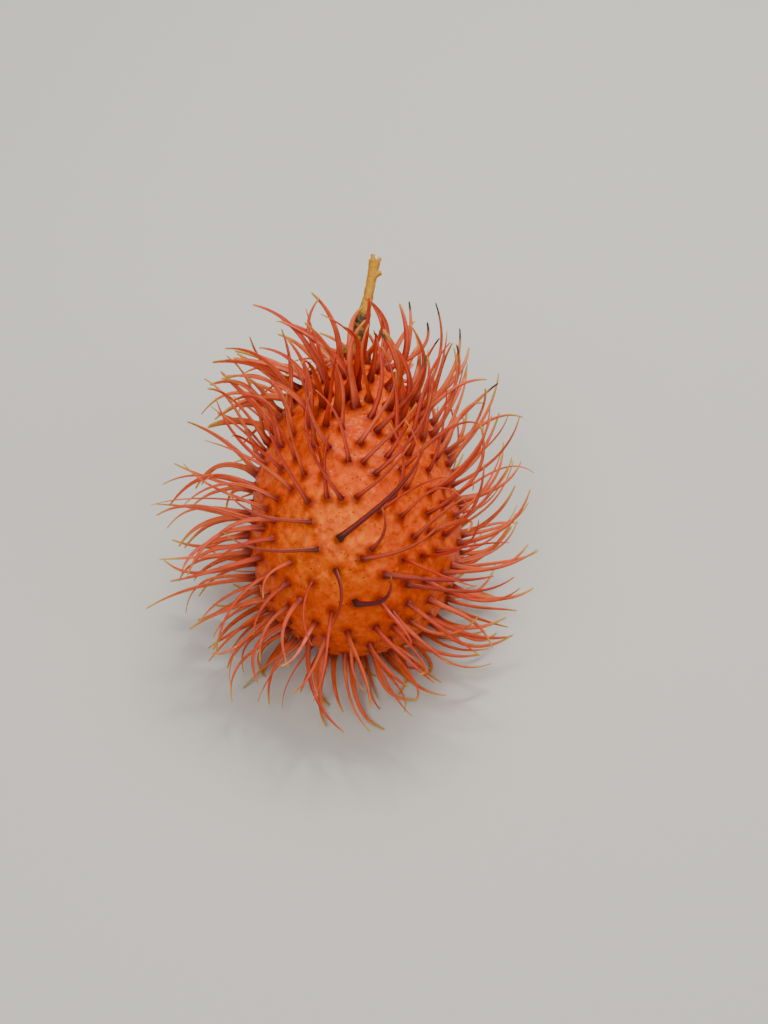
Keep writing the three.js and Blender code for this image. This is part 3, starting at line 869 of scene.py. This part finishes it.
@dataclass
class SpineCoat:
    """The coat of spines; each is a copy of one master, bent along its own line; mm."""

    growth: Growth
    spines: Spines
    sides: int = 10
    rings: int = 20
    sunk: float = 0.9
    root_width: float = 0.95
    flare_reach: float = 1.3
    neck_width: float = 0.55
    tip_width: float = 0.17
    slimmer_on_cheek: float = 0.33
    slimmer_zone: Span = (0.1, 0.6)
    flatness: float = 0.55
    round_root: Span = (0.0, 0.12)
    groove: float = 0.45
    foot_point: float = 0.2
    apex_point: float = 1.6
    tone_seed: int = 7
    plain_tone: float = 0.75
    redder_on_cheek: float = 0.7
    tone_spread: float = 0.5
    dried_seed: int = 11
    dried_from: tuple[float, float, float] = (1.0, 9.0, 0.0)
    dried_share: float = 0.28
    columns: int = 20
    cell_inset: float = 0.02

    def shares(self) -> np.ndarray:
        """Places of the rings along a spine, closer together at the root; the last is the apex."""
        even = np.linspace(0, 1, self.rings)
        return even * (0.75 + 0.25 * even)

    def build(self) -> bpy.types.Object:
        """The whole coat as one piece."""
        master = self._master()
        bent = self._bent_places()
        tones = self._tones()
        dried = self._dried_tips()
        copies = []
        for number in range(len(self.spines)):
            copy = master.copy()
            copy.data = master.data.copy()
            bpy.context.collection.objects.link(copy)
            self._dress(copy.data, bent[number], number, tones[number], dried[number])
            copies.append(copy)
        master_mesh = master.data
        bpy.data.objects.remove(master)
        bpy.data.meshes.remove(master_mesh)
        deselect_all()
        for copy in copies:
            copy.select_set(True)
        bpy.context.view_layer.objects.active = copies[0]
        bpy.ops.object.join()
        piece = bpy.context.object
        piece.name = piece.data.name = "spines"
        bpy.ops.object.shade_smooth()
        piece.data.materials.append(SpineFinish().material())
        return piece

    def _facing(self) -> np.ndarray:
        """How squarely each spine's root faces out of the cheek, from 0 to 1."""
        return np.clip(self.spines.normal @ self.growth.cheek_vector(0, 0, 1), 0, 1)

    def _tones(self) -> list[float]:
        """How light each spine's red is, from 0 for deep red to 1 for coral: partly its own colour,
        darker on the cheek, and partly painted light.
        """
        random = SeededRandom(self.tone_seed)
        tones = []
        for face in self._facing():
            # Partly painted light: coral stands for lit spines, deep red for shaded ones; the
            # cheek's darker spines are their own colour.
            tone = self.plain_tone - self.redder_on_cheek * face
            tones.append(float(np.clip(tone + self.tone_spread * (random() - 0.5), 0, 1)))
        return tones

    def _dried_tips(self) -> list[float]:
        """1 for each spine whose tip has dried almost black: a few to the right of the stalk."""
        random = SeededRandom(self.dried_seed)
        return [
            float(all(root > self.dried_from) and random() < self.dried_share)
            for root in self.spines.root
        ]

    def _master(self) -> bpy.types.Object:
        """A straight spine of unit width: a disc drawn up ring by ring, with pointed ends."""
        deselect_all()
        bpy.ops.mesh.primitive_circle_add(vertices=self.sides, radius=1, fill_type="NGON")
        piece = bpy.context.object
        piece.name = "spine_master"
        bpy.ops.object.mode_set(mode="EDIT")
        bpy.ops.mesh.select_all(action="SELECT")
        for _ in range(self.rings - 1):
            bpy.ops.mesh.extrude_region_move(TRANSFORM_OT_translate={"value": (0, 0, 1)})
        bpy.ops.object.mode_set(mode="OBJECT")
        caps = [face for face in piece.data.polygons if len(face.vertices) == self.sides]
        for face in piece.data.polygons:
            face.select = face in caps
        bpy.ops.object.mode_set(mode="EDIT")
        bpy.ops.mesh.select_mode(type="FACE")
        bpy.ops.mesh.poke()
        bpy.ops.mesh.select_all(action="SELECT")
        bpy.ops.mesh.normals_make_consistent(inside=False)
        bpy.ops.object.mode_set(mode="OBJECT")
        self._master_map(piece.data)
        return piece

    def _master_map(self, mesh: bpy.types.Mesh) -> None:
        """Unroll the master into the unit square: around it goes across, along it goes up."""
        for layer in list(mesh.uv_layers):
            mesh.uv_layers.remove(layer)
        layer = mesh.uv_layers.new(name="OFBake")
        band = 1 / (self.rings + 1)
        for face in mesh.polygons:
            spots = [mesh.vertices[corner].co for corner in face.vertices]
            on_axis = [math.hypot(spot.x, spot.y) < 0.5 for spot in spots]
            turns = [math.atan2(spot.y, spot.x) / (2 * math.pi) % 1 * self.sides for spot in spots]
            rims = [round(turn) % self.sides for turn, axis in zip(turns, on_axis) if not axis]
            wraps = max(rims) - min(rims) > 1
            rims = [rim + self.sides if wraps and rim == 0 else rim for rim in rims]
            middle = (max(rims) + min(rims)) / 2
            rims = iter(rims)
            for loop, spot, axis in zip(face.loop_indices, spots, on_axis):
                across = middle if axis else next(rims)
                row = spot.z + (0 if not axis else (-1 if spot.z < 0.5 else 1))
                layer.data[loop].uv = (across / self.sides, (row + 1) * band)

    def _bent_places(self) -> np.ndarray:
        """Corners of every spine, by spine, ring and side, then the two end points."""
        shares = self.shares()
        centre = self.growth.spine_points(self.spines, shares)
        inward = -self.growth.turn_to_part(self.spines.normal)
        ahead = unit(np.gradient(centre, axis=1))
        side = self._carried_across(ahead)
        over = np.cross(ahead, side)
        low_down = 1 - smooth(
            self.spines.root[:, 1] / self.growth.half_length, *self.slimmer_zone
        )
        slimmed = self.spines.girth * (
            1 - self.slimmer_on_cheek * self._facing() ** 2 * low_down
        )
        width = self._width(shares * self.spines.length[:, None], shares) * slimmed[:, None]
        flat = 1 - (1 - self.flatness) * smooth(shares, *self.round_root)
        turns = np.arange(self.sides) / self.sides * 2 * math.pi
        groove = 1 - self.groove * np.clip(np.sin(turns), 0, 1) ** 4
        reach = width[..., None, None]
        places = centre[:, :, None] + side[:, :, None] * reach * np.cos(turns)[None, None, :, None]
        thick = reach * flat[None, :, None, None]
        places = places + over[:, :, None] * thick * (np.sin(turns) * groove)[None, None, :, None]
        places[:, 0] += inward[:, None] * self.sunk
        foot = centre[:, 0] + inward * (self.sunk + self.foot_point)
        apex = centre[:, -1] + ahead[:, -1] * self.tip_width * self.apex_point
        flat_places = places.reshape(len(self.spines), -1, 3)
        every = np.concatenate([flat_places, foot[:, None], apex[:, None]], 1)
        every[..., 2] = np.maximum(every[..., 2], 0.0)
        return every

    def _carried_across(self, ahead: np.ndarray) -> np.ndarray:
        """Directions across the spines, carried from ring to ring so that none of them twists."""
        side = np.empty_like(ahead)
        across = unit(np.cross(self.growth.turn_to_part(self.spines.normal), ahead[:, 2]))
        for ring in range(ahead.shape[1]):
            heading = ahead[:, ring]
            across = unit(across - heading * np.sum(across * heading, -1, keepdims=True))
            side[:, ring] = across
        return side

    def _width(self, reach: np.ndarray, shares: np.ndarray) -> np.ndarray:
        """Half width along a spine: a flared root, a full shaft and a fine tip."""
        shaft = self.tip_width + (self.neck_width - self.tip_width) * (1 - shares**1.8)
        flare = (self.root_width - self.neck_width) * np.exp(-reach / self.flare_reach)
        return shaft + flare

    def _dress(
        self, mesh: bpy.types.Mesh, places: np.ndarray, number: int, tone: float, dried: float
    ) -> None:
        """Bend a copy of the master to its place and give it its looks and its cell of the map.

        Args:
            mesh: The copy's mesh.
            places: Where its corners go, by ring and side, then the two end points.
            number: Which spine it is.
            tone: How sunlit it is, from 0 to 1.
            dried: 1 if its tip has dried, else 0.
        """
        straight = coordinates(mesh)
        axis = np.hypot(straight[:, 0], straight[:, 1]) < 0.5
        ring = np.clip(np.round(straight[:, 2]), 0, self.rings - 1).astype(int)
        turn = np.arctan2(straight[:, 1], straight[:, 0]) / (2 * math.pi) * self.sides
        row = ring * self.sides + np.round(turn).astype(int) % self.sides
        foot = self.rings * self.sides
        row[axis] = np.where(straight[axis, 2] < 0.5, foot, foot + 1)
        set_coordinates(mesh, places[row] * MM)
        set_attribute(mesh, "along", self.shares()[ring])
        set_attribute(mesh, "tone", np.full(len(straight), tone))
        set_attribute(mesh, "dried", np.full(len(straight), dried))
        set_attribute(mesh, "wither", np.full(len(straight), self.spines.wither[number]))
        rows = math.ceil(len(self.spines) / self.columns)
        column, line = number % self.columns, number // self.columns
        layer = mesh.uv_layers["OFBake"]
        uv = np.empty(len(layer.data) * 2)
        layer.data.foreach_get("uv", uv)
        uv = uv.reshape(-1, 2) * (1 - 2 * self.cell_inset) + self.cell_inset
        uv = (uv + np.array([column, line])) / np.array([self.columns, rows])
        layer.data.foreach_set("uv", uv.astype(np.float32).ravel())


@dataclass
class Stalk:
    """The broken stalk: barky foot, smooth neck, torn fork; mm."""

    growth: Growth
    gap: float = 0.3
    lean: float = math.radians(15)
    length: float = 18.6
    sides: int = 20
    rings: int = 46
    stations: tuple = (0.0, 0.06, 0.14, 0.24, 0.33, 0.42, 0.5, 0.62, 0.78, 0.9, 1.0)
    radii: tuple = (1.95, 1.7, 1.5, 1.46, 1.52, 1.4, 1.1, 0.93, 0.9, 0.96, 1.12)
    bulge: float = 0.5
    shift: float = 0.2
    outward: float = 0.3
    branch_sides: int = 12
    branch_rings: int = 10
    branch_taper: float = 0.2
    voxel: float = 0.11
    smoothing: int = 6
    knob_size: float = 1.1
    knob_height: float = 0.08
    knob_height_of_bark: float = 0.18
    grain_size: float = 0.5
    grain_height: float = 0.03
    grain_height_where_torn: float = 0.1
    bark_end: Span = (0.38, 0.5)
    torn_end: Span = (1.0, 1.06)

    def point(self, share: float) -> Vector:
        """Centre line, from just above the rind towards the fork."""
        reach = self.length * share
        sway = self.bulge * math.sin(math.pi * share)
        across = reach * math.sin(self.lean) + sway - self.shift
        along = self.growth.half_length + self.gap + reach * math.cos(self.lean)
        return Vector(self.growth.to_part(np.array([across, along, self.outward * share])))

    def _radius(self, share: float) -> float:
        """Radius at a share of the stalk's length."""
        return float(np.interp(share, self.stations, self.radii))

    def build(self) -> bpy.types.Object:
        """The stalk as one closed piece."""
        trunk = self._rod("stem", self.point, self._radius, self.sides, self.rings)
        prongs = [
            self._branch(share=0.95, heading=-4, outward=0.1, length=2.2, radius=0.55),
            self._branch(share=0.94, heading=36, outward=-0.1, length=2.1, radius=0.52),
            self._branch(share=0.83, heading=66, outward=0.2, length=1.9, radius=0.6),
        ]
        select_only(trunk)
        for prong in prongs:
            prong.select_set(True)
        bpy.ops.object.join()
        trunk.data.remesh_voxel_size = self.voxel * MM
        bpy.ops.object.voxel_remesh()
        bpy.ops.object.mode_set(mode="EDIT")
        bpy.ops.mesh.select_all(action="SELECT")
        bpy.ops.mesh.vertices_smooth(factor=0.5, repeat=self.smoothing)
        bpy.ops.object.mode_set(mode="OBJECT")
        self._roughen(trunk.data)
        bpy.ops.object.shade_smooth()
        trunk.name = trunk.data.name = "stalk"
        trunk.data.materials.clear()
        trunk.data.materials.append(StalkFinish().material())
        return trunk

    def _branch(
        self, share: float, heading: float, outward: float, length: float, radius: float
    ) -> bpy.types.Object:
        """A short torn branch.

        Args:
            share: Where it leaves, as a share of the stalk's length.
            heading: Which way it goes across the fruit, in degrees from the fruit's length.
            outward: How much it rises out of the cheek.
            length: Its length.
            radius: Its radius where it leaves.

        Returns:
            The branch, in metres.
        """
        turn = math.radians(heading)
        way = Vector(self.growth.turn_to_part(np.array([math.sin(turn), math.cos(turn), outward])))
        start = self.point(share)
        return self._rod(
            "branch",
            lambda along: start + way * length * along,
            lambda along: radius * (1 - self.branch_taper * along),
            self.branch_sides,
            self.branch_rings,
        )

    def _rod(
        self,
        name: str,
        centre: Callable[[float], Vector],
        radius: Callable[[float], float],
        sides: int,
        rings: int,
    ) -> bpy.types.Object:
        """A disc drawn up ring by ring along a line.

        Args:
            name: Name of the new object.
            centre: Place on the line for a share from 0 to 1.
            radius: Radius for a share from 0 to 1.
            sides: Corners of each ring.
            rings: How many rings.

        Returns:
            The rod as a closed object, in metres.
        """
        deselect_all()
        ahead = (centre(0.04) - centre(0.0)).normalized()
        turn = Vector((0, 0, 1)).rotation_difference(ahead)
        bpy.ops.mesh.primitive_circle_add(
            vertices=sides,
            radius=radius(0.0) * MM,
            fill_type="NGON",
            location=centre(0.0) * MM,
            rotation=turn.to_euler(),
        )
        piece = bpy.context.object
        piece.name = name
        bpy.ops.object.transform_apply(location=True, rotation=True, scale=True)
        bpy.ops.object.mode_set(mode="EDIT")
        bpy.ops.mesh.select_all(action="SELECT")
        for ring in range(1, rings):
            share, before = ring / (rings - 1), (ring - 1) / (rings - 1)
            step = (centre(share) - centre(before)) * MM
            bpy.ops.mesh.extrude_region_move(TRANSFORM_OT_translate={"value": step})
            grow = radius(share) / radius(before)
            middle = centre(share) * MM
            bpy.ops.transform.resize(value=(grow, grow, grow), center_override=middle)
        bpy.ops.mesh.select_all(action="SELECT")
        bpy.ops.mesh.normals_make_consistent(inside=False)
        bpy.ops.object.mode_set(mode="OBJECT")
        return piece

    def _roughen(self, mesh: bpy.types.Mesh) -> None:
        """Raise the bark's knobs and cracks and mark how far along and how torn each spot is."""
        places = coordinates(mesh) / MM
        base, tip = np.array(self.point(0.0)), np.array(self.point(1.0))
        axis = (tip - base) / np.linalg.norm(tip - base)
        along = ((places - base) @ axis) / np.linalg.norm(tip - base)
        normals = np.empty(len(mesh.vertices) * 3)
        mesh.vertices.foreach_get("normal", normals)
        normals = normals.reshape(-1, 3)
        bark = 1 - smooth(along, *self.bark_end)
        knob = [noise.fractal(Vector(spot / self.knob_size), 0.7, 2.1, 4) for spot in places]
        grain = [noise.noise(Vector(spot / self.grain_size)) for spot in places]
        knob, grain = np.array(knob), np.array(grain)
        torn = smooth(along, *self.torn_end)
        height = knob * (self.knob_height + self.knob_height_of_bark * bark)
        height += grain * (self.grain_height + self.grain_height_where_torn * torn)
        set_coordinates(mesh, (places + normals * height[:, None]) * MM)
        set_attribute(mesh, "along", along)
        set_attribute(mesh, "torn", torn)


# -------------------------------------------------------- studio


class Softbox(Enum):
    """The lights: bearing and height in degrees, distance, size and power."""

    KEY = (155.0, 58.0, 0.55, 0.22, 2.6)
    GLINT = (165.0, 64.0, 0.6, 0.05, 0.9)
    FRONT = (-35.0, 56.0, 0.6, 0.4, 2.5)
    FILL = (60.0, 40.0, 0.7, 0.45, 1.3)


@dataclass
class Studio:
    """A plain pale floor, soft lights, and the camera; metres and degrees."""

    target: Vector
    elevation: float = 50.0
    distance: float = 0.289
    lens: float = 57.0
    aim_across: float = 0.0052
    aim_up: float = -0.0014
    floor: Colour = (0.55, 0.55, 0.54)
    lamps: Colour = (1.0, 0.94, 0.85)
    sky: Colour = (1.0, 0.98, 0.95)
    sky_strength: float = 0.17

    def build(self) -> None:
        """Set up the floor, the lights and the camera."""
        self._floor()
        world = bpy.data.worlds.new("studio")
        world.use_nodes = True
        backdrop = world.node_tree.nodes["Background"]
        backdrop.inputs["Color"].default_value = (*self.sky, 1.0)
        backdrop.inputs["Strength"].default_value = self.sky_strength
        bpy.context.scene.world = world
        for softbox in Softbox:
            self._light(softbox)
        self._camera()

    def _floor(self) -> None:
        """A wide matte floor at the foot of the fruit."""
        deselect_all()
        bpy.ops.mesh.primitive_plane_add(size=4, location=(0, 0, 0))
        floor = bpy.context.object
        floor.name = "floor"
        shader = Shader("floor", Roughness=0.85, Base_Color=(*self.floor, 1.0))
        shader.feed("Roughness", 0.8 + 0.1 * shader.noise(60, 3))
        floor.data.materials.append(shader.material)

    def _light(self, softbox: Softbox) -> None:
        """One square softbox aimed at the fruit."""
        bearing, height, distance, size, power = softbox.value
        turn, rise = math.radians(bearing), math.radians(height)
        level = math.cos(rise)
        way = Vector((math.sin(turn) * level, -math.cos(turn) * level, math.sin(rise)))
        lamp = bpy.data.lights.new(softbox.name.lower(), "AREA")
        lamp.shape, lamp.size, lamp.energy = "SQUARE", size, power
        lamp.color = self.lamps
        holder = bpy.data.objects.new(softbox.name.lower(), lamp)
        holder.location = self.target + way * distance
        holder.rotation_euler = (-way).to_track_quat("-Z", "Y").to_euler()
        bpy.context.collection.objects.link(holder)

    def _camera(self) -> None:
        """A camera looking along +Y and down, with the fruit left of centre."""
        rise = math.radians(self.elevation)
        way = Vector((0, -math.cos(rise), math.sin(rise)))
        up = Vector((0, math.sin(rise), math.cos(rise)))
        eye = self.target + way * self.distance
        aim = self.target + Vector((1, 0, 0)) * self.aim_across + up * self.aim_up
        camera = bpy.data.cameras.new("camera")
        camera.lens = self.lens
        camera.sensor_width = 36.0
        camera.clip_start, camera.clip_end = 0.01, 20.0
        holder = bpy.data.objects.new("camera", camera)
        holder.location = eye
        holder.rotation_euler = (aim - eye).to_track_quat("-Z", "Y").to_euler()
        bpy.context.collection.objects.link(holder)
        bpy.context.scene.camera = holder


def main() -> None:
    """Build the fruit's pieces around the solid model and report each one."""
    logging.basicConfig(level=logging.INFO, format="%(name)s: %(message)s")
    growth = Growth()
    spines = growth.spines()
    Studio(target=Vector(growth.centre() * MM)).build()
    pieces = (
        (Skin(growth, spines).build(), "fruit", "rind"),
        (SpineCoat(growth, spines).build(), "fruit", "rind"),
        (Stalk(growth).build(), "stem", "stalk"),
    )
    for piece, node, slot in pieces:
        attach(piece, "root")
        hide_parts(node)
        triangles = sum(len(face.vertices) - 2 for face in piece.data.polygons)
        LOG.info("%s stands for %s: %d triangles", piece.name, node, triangles)
    LOG.info("%d spines", len(spines))


if __name__ == "__main__":
    main()
